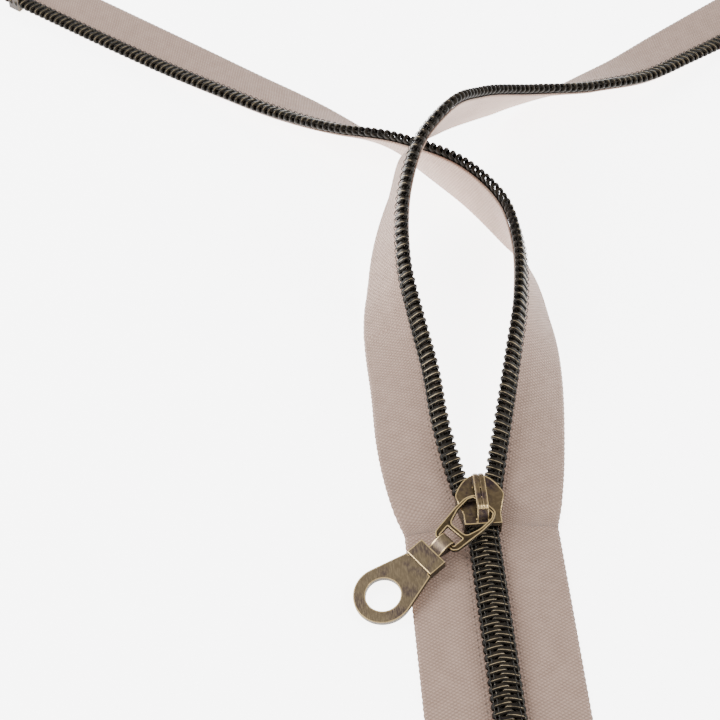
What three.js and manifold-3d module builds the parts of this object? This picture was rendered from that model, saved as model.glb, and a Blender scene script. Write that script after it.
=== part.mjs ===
// A nylon-coil zipper lying half open on a table.
//
// Frame: millimetres, +Z up, the table is z = 0 and the origin lies on it under the slider.
// The closed chain runs from the slider towards -Y. Above the slider (+Y) the two halves
// part, rise on edge, cross over each other and lie down again on the far side.
import * as THREE from 'three';
import { mergeVertices } from 'three/addons/utils/BufferGeometryUtils.js';
import Module from 'manifold-3d';

const wasm = await Module();
wasm.setup();
const DEG = Math.PI / 180;

// ---- Driving dimensions: the chain -------------------------------------------------
const TAPE_THICKNESS = 0.5;
const TAPE_INNER = -0.7; // tape edge under the coil heads, measured across from the spine
const TAPE_BEND = 4.2; // where the margin starts to droop, measured from the spine
const TAPE_OUTER = 13.6; // free selvedge, measured from the spine
const SPINE_X = 1.2; // half the distance between the two spines in the closed chain
const COIL_GAP = 0.15; // clearance between tape, coil and sewing thread
const COIL_INNER = -1.1; // side of the coil that faces the other half
const COIL_OUTER = 1.9; // side of the coil where its turns return
const COIL_HEIGHT = 2.15;
const LEG_DROP = 0.4; // how far the coil is pressed down where it is sewn
const COIL_CORNER = 0.35;
const HEAD_RISE = 0.6; // the head's rounded side, from its edge up to its top
const CORD_RADIUS = 0.45;
const CORD_CLEARANCE = 0.17;
const CORD_ACROSS = 0.35;
const CORD_UP = (COIL_HEIGHT - LEG_DROP) / 2; // above the coil's foot
const THREAD_WIDTH = 0.35;
const THREAD_THICKNESS = 0.2;
const INNER_ROW = 0.72; // sewing rows, measured from the spine
const OUTER_ROW = 1.42;
const TAPE_END = 12; // tape past the last turn of the coil, at both ends
const STOP_INSET = 4; // from the end of the coil to the far side of a stop
const STOP_MARGIN = 0.6; // from the end of the coil to the near side of a stop
const STOP_WALL = 0.4;

// ---- Driving dimensions: the slider -------------------------------------------------
const PLATE_THICKNESS = 0.85; // lower plate
const UPPER_PLATE = 1;
const SEAT_CLEARANCE = 0.1; // lower plate to tape
const RUN_CLEARANCE = 0.2; // coil to upper plate, and tape to flange
const FLANGE_WALL = 0.3;
const SHOULDER_WALL = 0.45;
const SHOULDER_FLARE = 1; // how much wider each channel is at the shoulder
const TAIL_Y = -5.3;
const WAIST_Y = -3.1; // where the parallel tail starts to widen
const SHOULDER_Y = 1.3;
const CROWN_Y = 6;
const CROWN_ROUND = 2.7; // half width at which the crown's curve is aimed
const BRIDGE_WIDTH = 2.2;
const BRIDGE_THICKNESS = 0.7;
const ARCH_ROOM = 1.8; // upper plate to the underside of the bridge
const ROOT = 0.2; // how deep joined walls run into each other
const SHOULDER_EASE = 0.15; // how far the shoulders' rounding starts inside their corner
const SHOULDER_BULGE = 0.1;
const SHOULDER_TUCK = 0.25; // how far the crown's curve starts inside the shoulder
const SHOULDER_RUN = 0.7; // along the chain, on either side of the shoulder
const FLANGE_RUN = 0.6;
const FLANGE_LEAD = 0.2; // the inside starts to widen this far behind the waist
const LOWER_INSET = 0.2; // how much narrower the lower plate's shoulders are
const POST_TIP = 1.9; // the post's sharp end, towards the tail
const POST_CHEEK = [1.35, 4.3];
const POST_CURVE = [1.2, 5.5];
const POST_END = 5.6;
const BRIDGE_TOE = [5.85, 3.1]; // front foot, from its outside to its inside
const BRIDGE_TOE_TOP = [5.75, 0.25];
const BRIDGE_HEEL = [-5.1, -4.3]; // rear foot, from its outside to its inside
const BRIDGE_FRONT_BEND = [4.6, 3.4];
const BRIDGE_REAR_BEND = [-2.6, -3.3];
const BRIDGE_REAR_LIP = [-3.6, 0.5];
const ARCH_FRONT_BEND = [1.9, 2.9];
const ARCH_SAG = 0.1;
const BRIDGE_SINK = 0.3; // how deep the feet run into the upper plate
const SLOT_WIDTH = 0.35;
const SLOT_LENGTH = 2;
const SLOT_DEPTH = 0.35;
const SLOT_Y = 0.2;
const SEAT = PLATE_THICKNESS + SEAT_CLEARANCE; // underside of the tape inside the slider
const CEILING = SEAT + TAPE_THICKNESS + COIL_GAP + COIL_HEIGHT + RUN_CLEARANCE;
const BODY_HEIGHT = CEILING + UPPER_PLATE;
const FLANGE_FOOT = SEAT + TAPE_THICKNESS + RUN_CLEARANCE;
const CHANNEL_TAIL = SPINE_X + COIL_OUTER + COIL_GAP; // half width of the inside at the tail
const CHANNEL_SHOULDER = CHANNEL_TAIL + SHOULDER_FLARE;
const TAIL_HALF = CHANNEL_TAIL + FLANGE_WALL;
const SHOULDER_HALF = CHANNEL_SHOULDER + SHOULDER_WALL;
const ARCH_TOP = BODY_HEIGHT + ARCH_ROOM;
const BRIDGE_TOP = ARCH_TOP + BRIDGE_THICKNESS;

// ---- Driving dimensions: the link and the pull ---------------------------------------
const LINK_YAW = 50 * DEG; // the link hangs to the left of straight down the chain
const LINK_DIP = 9 * DEG;
const LINK_LENGTH = 10.7; // bridge bar to end bar, between bar centres
const LINK_THICKNESS = 0.8;
const LINK_BAR = 0.8; // width of the end bar
const LINK_ASIDE = 0.8; // the loose link has slipped along its bar
const HINGE_Y = -1.2;
const HINGE_Z = BODY_HEIGHT + 1;
const PULL_YAW = 54 * DEG; // the bail sits a little askew on its bar
const PULL_DIP = 10.1 * DEG;
const BAIL_WIDTH = 2.8;
const BAIL_CLEARANCE = 0.154;
const BAIL_WALL = 0.48;
const BAIL_BORE = Math.hypot(LINK_BAR, LINK_THICKNESS) / 2 + BAIL_CLEARANCE;
const BAIL_RADIUS = BAIL_BORE + BAIL_WALL;
const TONGUE_THICKNESS = 0.9;
const BAIL_TAPER = [1.3, 2.3]; // from the end bar, where the strap closes to its tongue
const TONGUE_END = 4.4; // from the end bar
const COLLAR_START = 2.9;
const COLLAR_END = 6.6;
const COLLAR_HALF = 3.3;
const COLLAR_WALL = 0.35; // over and under the tongue and the tab's neck
const SOCKET_CLEARANCE = 0.15;
const TAB_THICKNESS = 1;
const TAB_CENTRE = 15.45; // end bar to the middle of the round end
const TAB_RADIUS = 5.6;
const TAB_HOLE = 3.3;
const NECK_LENGTH = 1.4; // the tab's neck inside the collar
const NECK_SHOULDER = 0.55; // how much narrower the neck is on each side
const COLLAR_PRESSED = 0.1; // how much thinner the collar is pressed than its walls add up to
const COLLAR_CORE = Math.max(TAB_THICKNESS, TONGUE_THICKNESS);
const COLLAR_THICKNESS = COLLAR_CORE + 2 * (COLLAR_WALL + SOCKET_CLEARANCE) - COLLAR_PRESSED;
const TAB_GAP = 0.1; // collar to the tab's shoulders

// ---- Driving dimensions: where the two halves lie ------------------------------------
// Each point is [x, y, twist, lift]: the spine's place on the table, how far the tape is
// turned on edge (degrees) and how far it is held off the table (millimetres).
const CHAIN_FOOT = -60; // end of both coils below the slider
const PARTING_Y = -3.5; // inside the slider, where the two spines part
const PARTING_RUN = 1.5; // straight run held just before the parting
const SHOULDER_POINT = [3.15, 4.6, 0, SEAT];
const CROSSING_TILT = 80; // the right half stands almost on edge where the left passes over
const CROSSING_CLEARANCE = 2.3;
const CROSSING_LIFT = TAPE_OUTER * Math.sin(CROSSING_TILT * DEG) + COIL_HEIGHT + CROSSING_CLEARANCE;
const LEFT_ROUTE = [
  [-5.3, 18, 16, 0],
  [-6, 31, 24, 0],
  [-7.6, 44, 36, 0],
  [-8.8, 55, 51, 0.09 * CROSSING_LIFT],
  [-7.5, 68, 61, 0.49 * CROSSING_LIFT],
  [-4.5, 75, 54, 0.83 * CROSSING_LIFT],
  [1.5, 82, 52, CROSSING_LIFT],
  [10.5, 93.6, 55, 0.61 * CROSSING_LIFT],
  [24, 104.4, 47, 0.15 * CROSSING_LIFT],
  [39, 110.8, 32, 0],
  [53, 117.6, 15, 0],
  [67, 127, 6, 0],
  [81, 136.5, 0, 0.3],
  [95, 146, 0, SEAT],
  [124, 165, 0, SEAT],
];
const RIGHT_ROUTE = [
  [6, 17, 17, 0],
  [9.5, 32, 34, 0],
  [12.5, 46, 53, 0],
  [13.5, 59, 66, 0],
  [12, 69, CROSSING_TILT, 0],
  [5.5, 80.5, CROSSING_TILT, 0],
  [-7.5, 91, 62, 0],
  [-20.5, 100, 35, 0],
  [-33.5, 110.5, 17, 0],
  [-47, 121, 11, 0],
  [-60, 131.5, 6, 0],
  [-73, 142, 4, 0],
  [-86, 152.5, 2, 0.3],
  [-97.5, 161.5, 0, SEAT],
  [-117, 177, 0, SEAT],
];
const ARM_LENGTH = 224; // coil between the parting and its open end
const STATION_STEP = 4.6;
const FINE_STEP = 2; // inside the slider

// ---- Closed solids --------------------------------------------------------------------
function geometryFrom(positions, indices) {
  const geometry = new THREE.BufferGeometry();
  geometry.setAttribute('position', new THREE.Float32BufferAttribute(positions, 3));
  geometry.setIndex(indices);
  return geometry;
}

function toManifold(geometry) {
  const bare = geometry.clone();
  bare.deleteAttribute('normal');
  bare.deleteAttribute('uv');
  const merged = mergeVertices(bare, 1e-4);
  return new wasm.Manifold(
    new wasm.Mesh({
      numProp: 3,
      vertProperties: new Float32Array(merged.attributes.position.array),
      triVerts: new Uint32Array(merged.index.array),
    }),
  );
}

function fromManifold(solid) {
  const mesh = solid.getMesh();
  return geometryFrom(Array.from(mesh.vertProperties), Array.from(mesh.triVerts));
}

// Sweep a section along stations. A section is [across, up] points, anticlockwise as seen
// with the run coming towards the eye; an inner section of equal length makes a tube.
function sweep(stations, sectionAt, side, innerAt) {
  const positions = [];
  const indices = [];
  const count = sectionAt(stations[0]).length;
  const rings = innerAt ? [sectionAt, innerAt] : [sectionAt];
  for (const ring of rings) {
    for (const station of stations) {
      for (const [across, up] of ring(station)) {
        positions.push(...placeOn(station, across, up).toArray());
      }
    }
  }
  const at = (ring, row, column) => (ring * stations.length + row) * count + (column % count);
  const quad = (a, b, c, d, flip) => {
    if (flip) indices.push(a, c, b, a, d, c);
    else indices.push(a, b, c, a, c, d);
  };
  // Every wall is cut along the same diagonal of its columns, so stacked layers stay parallel.
  const outline = sectionAt(stations[0]).map(([across, up]) => new THREE.Vector2(across, up));
  const rises = (column) => outline[(column + 1) % count].x > outline[column].x;
  const mirrored = side < 0;
  for (let ring = 0; ring < rings.length; ring += 1) {
    for (let row = 0; row + 1 < stations.length; row += 1) {
      for (let column = 0; column < count; column += 1) {
        const corners = [
          at(ring, row, column),
          at(ring, row, column + 1),
          at(ring, row + 1, column + 1),
          at(ring, row + 1, column),
        ];
        if (!rises(column)) corners.push(corners.shift());
        quad(...corners, mirrored !== (ring === 0));
      }
    }
  }
  const last = stations.length - 1;
  if (innerAt) {
    for (let column = 0; column < count; column += 1) {
      quad(at(0, 0, column), at(0, 0, column + 1), at(1, 0, column + 1), at(1, 0, column), mirrored);
      const far = [at(0, last, column), at(0, last, column + 1)];
      quad(...far, at(1, last, column + 1), at(1, last, column), !mirrored);
    }
  } else {
    for (const [a, b, c] of THREE.ShapeUtils.triangulateShape(outline, [])) {
      const near = [at(0, 0, a), at(0, 0, b), at(0, 0, c)];
      const far = [at(0, last, a), at(0, last, b), at(0, last, c)];
      indices.push(...(mirrored ? near.reverse() : near));
      indices.push(...(mirrored ? far : far.reverse()));
    }
  }
  return geometryFrom(positions, indices);
}

// ---- The spine of each half --------------------------------------------------------------
// A cubic through the points, with slopes weighted by the lengths on either side.
function splineThrough(points) {
  const lengths = points.slice(1).map((p, i) => Math.hypot(p[0] - points[i][0], p[1] - points[i][1]));
  const starts = [0];
  lengths.forEach((length, i) => starts.push(starts[i] + length));
  const slope = (i) => points[i].map((v, k) => (points[i + 1][k] - v) / lengths[i]);
  const tangents = points.map((point, i) => {
    if (i === 0) return slope(0);
    if (i === points.length - 1) return slope(i - 1);
    const [before, after] = [lengths[i - 1], lengths[i]];
    const [left, right] = [slope(i - 1), slope(i)];
    return point.map((_, k) => (left[k] * after + right[k] * before) / (before + after));
  });
  const at = (distance) => {
    let i = 0;
    while (i < lengths.length - 1 && distance > starts[i + 1]) i += 1;
    const h = lengths[i];
    const t = (distance - starts[i]) / h;
    return points[i].map((v, k) => {
      const start = (2 * t ** 3 - 3 * t ** 2 + 1) * v + (t ** 3 - 2 * t ** 2 + t) * h * tangents[i][k];
      const end = (3 * t ** 2 - 2 * t ** 3) * points[i + 1][k] + (t ** 3 - t ** 2) * h * tangents[i + 1][k];
      return start + end;
    });
  };
  return { at, total: starts[points.length - 1] };
}

function spinePoint(values) {
  const [x, y, twist, lift] = values;
  const angle = Math.max(twist, 0) * DEG;
  const held = Math.max(lift, 0);
  const z = TAPE_THICKNESS / 2 + TAPE_OUTER * Math.sin(angle) + held;
  const droop = Math.asin(Math.min(held, SEAT) / (TAPE_OUTER - TAPE_BEND));
  return { centre: new THREE.Vector3(x, y, z), angle, droop };
}

// Stations carry the tape's own axes: across it towards the selvedge, and up out of its face.
function stationAt(spline, distance, side) {
  const step = 0.05;
  const here = spinePoint(spline.at(distance));
  const ahead = spinePoint(spline.at(Math.min(distance + step, spline.total)));
  const behind = spinePoint(spline.at(Math.max(distance - step, 0)));
  const along = ahead.centre.clone().sub(behind.centre).normalize();
  const outward = new THREE.Vector3(along.y, -along.x, 0).multiplyScalar(side).normalize();
  const upward = new THREE.Vector3().crossVectors(outward, along).multiplyScalar(side).normalize();
  const [cos, sin] = [Math.cos(here.angle), Math.sin(here.angle)];
  const across = outward.clone().multiplyScalar(cos).addScaledVector(upward, -sin);
  const up = outward.clone().multiplyScalar(sin).addScaledVector(upward, cos);
  return { ...here, along, across, up };
}

// A point on a station: the margin past the bend droops towards the table.
function placeOn(station, across, up) {
  const { centre, droop } = station;
  const inner = Math.min(across, TAPE_BEND);
  const margin = Math.max(across - TAPE_BEND, 0);
  const lean = across > TAPE_BEND ? droop : droop / 2;
  const bent = across >= TAPE_BEND;
  const sideways = inner + margin * Math.cos(droop) + (bent ? up * Math.sin(lean) : 0);
  const height = (bent ? up * Math.cos(lean) : up) - margin * Math.sin(droop);
  return centre.clone().addScaledVector(station.across, sideways).addScaledVector(station.up, height);
}

// The distance along the spline's parameter at which the swept spine has run a given length.
function distanceForLength(spline, start, length) {
  const step = 0.25;
  let [distance, run] = [start, 0];
  let previous = spinePoint(spline.at(start)).centre;
  while (run < length && distance < spline.total) {
    distance += step;
    const next = spinePoint(spline.at(distance)).centre;
    run += next.distanceTo(previous);
    previous = next;
  }
  return distance;
}

// Everything on one half shares its stations along the coil, so that layers stay parallel.
function coilStations(half) {
  const fine = [0, 1, 2, 3, 4].map((i) => half.bends + i * FINE_STEP);
  const start = half.bends + 5 * FINE_STEP;
  const run = half.coilEnd - start;
  const count = Math.ceil(run / STATION_STEP);
  const arm = Array.from({ length: count + 1 }, (_, i) => start + (run * i) / count);
  return [half.coilStart, ...fine, ...arm].map((distance) => stationAt(half.spline, distance, half.side));
}

function tapeStations(half) {
  const ends = [0, Math.min(half.coilEnd + TAPE_END, half.spline.total)];
  const [foot, head] = ends.map((distance) => stationAt(half.spline, distance, half.side));
  return [foot, ...coilStations(half), head];
}

function makeHalf(side, route) {
  const chainEnd = CHAIN_FOOT - TAPE_END;
  const points = [
    [side * SPINE_X, chainEnd, 0, SEAT],
    [side * SPINE_X, PARTING_Y - PARTING_RUN, 0, SEAT],
    [side * SPINE_X, PARTING_Y, 0, SEAT],
    [side * SHOULDER_POINT[0], ...SHOULDER_POINT.slice(1)],
    ...route,
  ];
  const spline = splineThrough(points);
  const bends = PARTING_Y - PARTING_RUN - chainEnd;
  const coilEnd = distanceForLength(spline, bends, ARM_LENGTH);
  return { side, spline, bends, coilStart: TAPE_END, coilEnd };
}

// ---- Chain pieces -----------------------------------------------------------------------
function makeTape(half) {
  const t = TAPE_THICKNESS / 2;
  const section = () => [
    [TAPE_INNER, -t],
    [COIL_OUTER - COIL_CORNER, -t],
    [TAPE_BEND, -t],
    [TAPE_OUTER, -t],
    [TAPE_OUTER, t],
    [TAPE_BEND, t],
    [COIL_OUTER - COIL_CORNER, t],
    [TAPE_INNER, t],
  ];
  return sweep(tapeStations(half), section, half.side);
}

// The cord's outline inside the coil: it starts at the corner that faces the coil's foot.
function circle(radius, up) {
  const sides = 8;
  return Array.from({ length: sides }, (_, i) => {
    const angle = ((i - 2.5) / sides) * 2 * Math.PI;
    return [CORD_ACROSS + radius * Math.cos(angle), up + radius * Math.sin(angle)];
  });
}

function makeCoil(half) {
  const base = TAPE_THICKNESS / 2 + COIL_GAP;
  const leg = base + COIL_HEIGHT - LEG_DROP;
  const section = () => [
    [TAPE_INNER, base],
    [COIL_OUTER - COIL_CORNER, base],
    [COIL_OUTER, base + COIL_CORNER],
    [COIL_OUTER, leg - COIL_CORNER],
    [COIL_OUTER - COIL_CORNER, leg],
    [CORD_ACROSS, leg],
    [CORD_ACROSS - COIL_CORNER, base + COIL_HEIGHT],
    [COIL_INNER, base + COIL_HEIGHT - HEAD_RISE],
  ];
  const bore = () => circle(CORD_RADIUS + CORD_CLEARANCE, base + CORD_UP);
  return sweep(coilStations(half), section, half.side, bore);
}

function makeCord(half) {
  const section = () => circle(CORD_RADIUS, TAPE_THICKNESS / 2 + COIL_GAP + CORD_UP);
  return sweep(coilStations(half), section, half.side);
}

function makeThread(half, row) {
  const foot = TAPE_THICKNESS / 2 + 2 * COIL_GAP + COIL_HEIGHT - LEG_DROP;
  const section = () => [
    [row - THREAD_WIDTH / 2, foot],
    [row + THREAD_WIDTH / 2, foot],
    [row + THREAD_WIDTH / 2, foot + THREAD_THICKNESS],
    [row - THREAD_WIDTH / 2, foot + THREAD_THICKNESS],
  ];
  return sweep(coilStations(half), section, half.side);
}

// A metal strip crimped round the coil and the inner edge of the tape.
function makeTopStop(half) {
  const roof = TAPE_THICKNESS / 2 + 2 * COIL_GAP + COIL_HEIGHT;
  const floor = -TAPE_THICKNESS / 2 - COIL_GAP;
  const left = COIL_INNER - COIL_GAP;
  const right = COIL_OUTER + COIL_GAP;
  const section = () => [
    [left - STOP_WALL, floor - STOP_WALL],
    [right, floor - STOP_WALL],
    [right, floor],
    [left, floor],
    [left, roof],
    [right, roof],
    [right, roof + STOP_WALL],
    [left - STOP_WALL, roof + STOP_WALL],
  ];
  const ends = [STOP_INSET, STOP_MARGIN].map((back) => half.coilEnd - back);
  const stations = ends.map((distance) => stationAt(half.spline, distance, half.side));
  return sweep(stations, section, half.side);
}

// ---- The slider ---------------------------------------------------------------------------
function extrudeUp(shape, from, to) {
  const options = { depth: to - from, bevelEnabled: false, curveSegments: 6 };
  const geometry = new THREE.ExtrudeGeometry(shape, options);
  geometry.translate(0, 0, from);
  return geometry;
}

// The plan of a plate: parallel tail, waist, shoulders and a rounded crown.
function platePlan(tail, shoulder, tailY, crownY) {
  const frontY = SHOULDER_Y + SHOULDER_RUN;
  const shape = new THREE.Shape();
  shape.moveTo(-tail, tailY);
  shape.lineTo(tail, tailY);
  shape.lineTo(tail, WAIST_Y);
  shape.lineTo(shoulder - SHOULDER_EASE, SHOULDER_Y - SHOULDER_RUN);
  shape.quadraticCurveTo(shoulder + SHOULDER_BULGE, SHOULDER_Y, shoulder - SHOULDER_TUCK, frontY);
  shape.quadraticCurveTo(CROWN_ROUND, crownY, 0, crownY);
  shape.quadraticCurveTo(-CROWN_ROUND, crownY, -shoulder + SHOULDER_TUCK, frontY);
  const rear = [-shoulder + SHOULDER_EASE, SHOULDER_Y - SHOULDER_RUN];
  shape.quadraticCurveTo(-shoulder - SHOULDER_BULGE, SHOULDER_Y, ...rear);
  shape.lineTo(-tail, WAIST_Y);
  shape.closePath();
  return shape;
}

// A side flange hangs from the upper plate and guides the outside of one coil.
function flangePlan(side) {
  const points = [
    [CHANNEL_TAIL, TAIL_Y],
    [TAIL_HALF, TAIL_Y],
    [TAIL_HALF, WAIST_Y],
    [SHOULDER_HALF - SHOULDER_EASE, SHOULDER_Y - FLANGE_RUN],
    [SHOULDER_HALF - SHOULDER_EASE, SHOULDER_Y],
    [CHANNEL_SHOULDER, SHOULDER_Y],
    [CHANNEL_TAIL, WAIST_Y - FLANGE_LEAD],
  ].map(([x, y]) => new THREE.Vector2(side * x, y));
  return new THREE.Shape(side > 0 ? points : points.reverse());
}

// The post between the two channels joins the plates and parts the coils.
function postPlan() {
  const shape = new THREE.Shape();
  const [cheekX, cheekY] = POST_CHEEK;
  const [curveX, curveY] = POST_CURVE;
  shape.moveTo(0, POST_TIP);
  shape.lineTo(cheekX, cheekY);
  shape.quadraticCurveTo(curveX, curveY, 0, POST_END);
  shape.quadraticCurveTo(-curveX, curveY, -cheekX, cheekY);
  shape.closePath();
  return shape;
}

// The bridge is drawn from the side (y, z) and carries the link under its arch.
function makeBridge() {
  const seat = BODY_HEIGHT - BRIDGE_SINK;
  const [toeFront, toeBack] = BRIDGE_TOE;
  const [heelBack, heelFront] = BRIDGE_HEEL;
  const [rearStart, rearEnd] = BRIDGE_REAR_BEND;
  const [lipY, lipDrop] = BRIDGE_REAR_LIP;
  const profile = new THREE.Shape();
  profile.moveTo(toeFront, seat);
  profile.lineTo(BRIDGE_TOE_TOP[0], BODY_HEIGHT + BRIDGE_TOE_TOP[1]);
  profile.quadraticCurveTo(BRIDGE_FRONT_BEND[0], BRIDGE_TOP, BRIDGE_FRONT_BEND[1], BRIDGE_TOP);
  profile.lineTo(rearStart, BRIDGE_TOP);
  profile.quadraticCurveTo(rearEnd, BRIDGE_TOP, lipY, BRIDGE_TOP - lipDrop);
  profile.lineTo(heelBack, seat);
  profile.lineTo(heelFront, seat);
  profile.quadraticCurveTo(lipY, ARCH_TOP, rearStart, ARCH_TOP);
  profile.lineTo(ARCH_FRONT_BEND[0], ARCH_TOP);
  profile.quadraticCurveTo(ARCH_FRONT_BEND[1], ARCH_TOP - ARCH_SAG, toeBack, seat);
  profile.closePath();
  const options = { depth: BRIDGE_WIDTH, bevelEnabled: false, curveSegments: 6 };
  const geometry = new THREE.ExtrudeGeometry(profile, options);
  geometry.translate(0, 0, -BRIDGE_WIDTH / 2);
  // The drawing's x becomes y, its y becomes z and its depth becomes x.
  geometry.applyMatrix4(new THREE.Matrix4().set(0, 0, 1, 0, 1, 0, 0, 0, 0, 1, 0, 0, 0, 0, 0, 1));
  return geometry;
}

function makeBridgeSlot() {
  const geometry = new THREE.BoxGeometry(SLOT_WIDTH, SLOT_LENGTH, 2 * SLOT_DEPTH);
  geometry.translate(0, SLOT_Y, BRIDGE_TOP);
  return geometry;
}

function makeSliderBody() {
  const upperPlan = platePlan(TAIL_HALF, SHOULDER_HALF, TAIL_Y, CROWN_Y);
  const lowerPlan = platePlan(TAIL_HALF, SHOULDER_HALF - LOWER_INSET, TAIL_Y, CROWN_Y);
  const upper = extrudeUp(upperPlan, CEILING, BODY_HEIGHT);
  const lower = extrudeUp(lowerPlan, 0, PLATE_THICKNESS);
  const post = extrudeUp(postPlan(), PLATE_THICKNESS - ROOT, CEILING + ROOT);
  const flanges = [-1, 1].map((side) => extrudeUp(flangePlan(side), FLANGE_FOOT, CEILING + ROOT));
  let solid = toManifold(upper);
  for (const geometry of [lower, post, ...flanges, makeBridge()]) solid = solid.add(toManifold(geometry));
  return fromManifold(solid.subtract(toManifold(makeBridgeSlot())));
}

// ---- The link and the pull ------------------------------------------------------------------
// Both are drawn along -Y from their own hinge and turned into place by nested groups.
function outline(points) {
  const path = new THREE.Shape();
  const count = points.length;
  points.forEach(([x, y, radius], i) => {
    const here = new THREE.Vector2(x, y);
    const before = new THREE.Vector2(...points[(i + count - 1) % count].slice(0, 2)).sub(here);
    const after = new THREE.Vector2(...points[(i + 1) % count].slice(0, 2)).sub(here);
    const start = here.clone().addScaledVector(before.normalize(), radius);
    const end = here.clone().addScaledVector(after.normalize(), radius);
    if (i === 0) path.moveTo(start.x, start.y);
    else path.lineTo(start.x, start.y);
    path.quadraticCurveTo(here.x, here.y, end.x, end.y);
  });
  path.closePath();
  return path;
}

function mirroredOutline(points) {
  const otherSide = points.map(([x, y, radius]) => [-x, y, radius]);
  return outline([...otherSide, ...points.slice().reverse()]);
}

function makeLink() {
  const bar = LINK_BAR / 2;
  const far = -LINK_LENGTH;
  // Corners of the right half as [x, y, rounding], from the bridge to the end bar.
  const frame = mirroredOutline([
    [2.75, bar, 0.9],
    [3.65, -1.4, 0.6],
    [3.65, -4.4, 0.8],
    [2.95, far + bar, 0.3],
    [2.2, far - bar, 0.3],
  ]);
  const ringHole = mirroredOutline([
    [2.5, -0.35, 0.3],
    [3.05, -1.3, 0.4],
    [3, -4.2, 0.7],
    [2, far + 3.5, 0.9],
  ]);
  const slot = mirroredOutline([
    [2, far + 2.7, 0.2],
    [1.8, far + bar, 0.2],
  ]);
  frame.holes.push(ringHole, slot);
  return extrudeUp(frame, -LINK_THICKNESS / 2, LINK_THICKNESS / 2);
}

// A strap bent round the link's end bar, closing to a tongue that the collar grips.
function makeBail() {
  const tongue = TONGUE_THICKNESS / 2;
  const profile = new THREE.Shape();
  profile.moveTo(0, BAIL_RADIUS);
  profile.absarc(0, 0, BAIL_RADIUS, Math.PI / 2, 1.5 * Math.PI, false);
  const [taperStart, taperEnd] = BAIL_TAPER;
  profile.quadraticCurveTo(taperStart, -BAIL_RADIUS, taperEnd, -tongue);
  profile.lineTo(TONGUE_END, -tongue);
  profile.lineTo(TONGUE_END, tongue);
  profile.lineTo(taperEnd, tongue);
  profile.quadraticCurveTo(taperStart, BAIL_RADIUS, 0, BAIL_RADIUS);
  const bore = new THREE.Path();
  bore.absarc(0, 0, BAIL_BORE, 0, 2 * Math.PI, true);
  profile.holes.push(bore);
  const options = { depth: BAIL_WIDTH, bevelEnabled: false, curveSegments: 8 };
  const geometry = new THREE.ExtrudeGeometry(profile, options);
  geometry.translate(0, 0, -BAIL_WIDTH / 2);
  // The drawing's x becomes -y, its y stays up as z and its depth becomes x.
  geometry.applyMatrix4(new THREE.Matrix4().set(0, 0, -1, 0, -1, 0, 0, 0, 0, 1, 0, 0, 0, 0, 0, 1));
  return geometry;
}

function makeCollar() {
  const gap = 2 * SOCKET_CLEARANCE;
  const block = new THREE.BoxGeometry(2 * COLLAR_HALF, COLLAR_END - COLLAR_START, COLLAR_THICKNESS);
  block.translate(0, -(COLLAR_START + COLLAR_END) / 2, 0);
  const tongueDepth = 2 * (TONGUE_END - COLLAR_START + SOCKET_CLEARANCE);
  const tongueRoom = new THREE.BoxGeometry(BAIL_WIDTH + gap, tongueDepth, TONGUE_THICKNESS + gap);
  tongueRoom.translate(0, -COLLAR_START, 0);
  const neckWidth = 2 * (COLLAR_HALF - NECK_SHOULDER) + gap;
  const neckDepth = 2 * (NECK_LENGTH + SOCKET_CLEARANCE);
  const neckRoom = new THREE.BoxGeometry(neckWidth, neckDepth, TAB_THICKNESS + gap);
  neckRoom.translate(0, -COLLAR_END, 0);
  return fromManifold(toManifold(block).subtract(toManifold(tongueRoom)).subtract(toManifold(neckRoom)));
}

function makeTab() {
  const neck = COLLAR_HALF - NECK_SHOULDER;
  const shape = new THREE.Shape();
  const edge = -(COLLAR_END + TAB_GAP);
  const tangent = Math.acos((TAB_RADIUS - COLLAR_HALF + TAB_GAP) / (TAB_CENTRE - COLLAR_END));
  const start = -(Math.PI / 2 - tangent);
  shape.moveTo(neck, edge + NECK_LENGTH);
  shape.lineTo(-neck, edge + NECK_LENGTH);
  shape.lineTo(-neck, edge);
  shape.lineTo(-COLLAR_HALF, edge);
  shape.absarc(0, -TAB_CENTRE, TAB_RADIUS, Math.PI + start, -start + 2 * Math.PI, false);
  shape.lineTo(COLLAR_HALF, edge);
  shape.lineTo(neck, edge);
  shape.closePath();
  const hole = new THREE.Path();
  hole.absarc(0, -TAB_CENTRE, TAB_HOLE, 0, 2 * Math.PI, true);
  shape.holes.push(hole);
  const half = TAB_THICKNESS / 2;
  const options = { depth: TAB_THICKNESS, bevelEnabled: false, curveSegments: 32 };
  const geometry = new THREE.ExtrudeGeometry(shape, options);
  geometry.translate(0, 0, -half);
  return geometry;
}

// A staple over both coils that ends the slider's run.
function makeBottomStop() {
  const inside = SPINE_X + COIL_OUTER + COIL_GAP;
  const roof = SEAT + TAPE_THICKNESS + COIL_GAP + COIL_HEIGHT + COIL_GAP;
  const foot = SEAT + TAPE_THICKNESS + COIL_GAP;
  const wall = STOP_WALL;
  const staple = new THREE.Shape();
  staple.moveTo(-inside - wall, foot);
  staple.lineTo(-inside, foot);
  staple.lineTo(-inside, roof);
  staple.lineTo(inside, roof);
  staple.lineTo(inside, foot);
  staple.lineTo(inside + wall, foot);
  staple.lineTo(inside + wall, roof + wall);
  staple.lineTo(-inside - wall, roof + wall);
  staple.closePath();
  const options = { depth: STOP_INSET - STOP_MARGIN, bevelEnabled: false };
  const geometry = new THREE.ExtrudeGeometry(staple, options);
  geometry.rotateX(Math.PI / 2);
  geometry.translate(0, CHAIN_FOOT + STOP_INSET, 0);
  return geometry;
}

// ---- Assembly -----------------------------------------------------------------------------
const FABRIC = { color: 0xbfaea1, roughness: 0.95, metalness: 0 };
const NYLON = { color: 0x1d1813, roughness: 0.35, metalness: 0 };
const YARN = { color: 0x2b2620, roughness: 0.9, metalness: 0 };
const BRASS = { color: 0x7d6b49, roughness: 0.4, metalness: 0.9 };

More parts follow.
